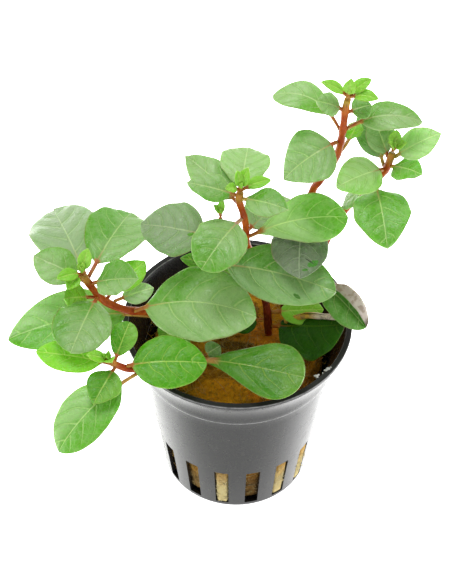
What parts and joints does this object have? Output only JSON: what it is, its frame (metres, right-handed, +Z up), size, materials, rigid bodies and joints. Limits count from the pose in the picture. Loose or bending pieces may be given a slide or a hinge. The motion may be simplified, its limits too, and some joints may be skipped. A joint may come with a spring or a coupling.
{
  "type": "potted aquarium plant",
  "caption": "Leafy red-stemmed aquatic plant with broad green leaves, rooted in rock wool in a small slotted black plastic pot.",
  "frame": {"origin": "middle of the underside of the pot's base", "axes": "+Z up, -Y to the front that the picture shows, +X to the right"},
  "size_m": [0.0976, 0.0653, 0.1189],
  "materials": {
    "pot_plastic": "semi-gloss moulded black plastic with light scuffs",
    "rock_wool": "fibrous brown mineral wool, damp",
    "stem": "smooth waxy red plant stem",
    "leaf": "satin waxy green leaf with pale veins",
    "young_leaf": "satin bright yellow-green young leaf"
  },
  "bodies": {
    "root": {"pot": "pot_plastic", "rock_wool": "rock_wool", "stem_left": "stem", "stem_front_left": "stem", "stem_centre": "stem", "stem_slender": "stem", "stem_tall": "stem", "stem_right": "stem", "leaf_left_back": "leaf", "leaf_left_top": "leaf", "leaf_left_outer": "leaf", "leaf_left_inner": "leaf", "leaf_left_long": "leaf", "leaf_left_front": "leaf", "leaf_left_under": "leaf", "leaf_left_young": "young_leaf", "leaf_left_pale": "leaf", "leaf_broad": "leaf", "leaf_low_upright": "young_leaf", "leaf_low_outer": "leaf", "leaf_low_front": "young_leaf", "leaf_low_hanging": "leaf", "leaf_low_inner": "leaf", "leaf_front": "leaf", "leaf_centre_right": "leaf", "leaf_centre_front": "leaf", "leaf_centre_back": "leaf", "leaf_centre_left": "leaf", "leaf_centre_top": "leaf", "leaf_centre_side": "leaf", "leaf_centre_grey": "leaf", "leaf_back": "leaf", "leaf_inside_back": "leaf", "leaf_middle": "leaf", "leaf_old": "leaf", "leaf_folded": "leaf", "leaf_inside_right": "leaf", "leaf_inside_young": "young_leaf", "leaf_inside_dark": "leaf", "leaf_inside_left": "leaf", "leaf_inside_pale": "leaf", "leaf_tall_front": "leaf", "leaf_tall_edge": "leaf", "leaf_tall_left": "leaf", "leaf_tall_pale": "leaf", "leaf_tall_right": "leaf", "leaf_tall_back": "leaf", "leaf_right_hanging": "leaf", "leaf_right_inner": "leaf", "leaf_right_up": "leaf", "leaf_right_top": "leaf", "leaf_right_edge": "leaf", "leaf_right_outer": "leaf", "leaf_right_low": "young_leaf", "shoot_tip_left": "young_leaf", "shoot_tip_front_left": "young_leaf", "shoot_tip_centre": "young_leaf", "shoot_tip_slender": "young_leaf", "shoot_tip_tall": "young_leaf", "shoot_tip_right": "young_leaf"}
  },
  "joints": []
}
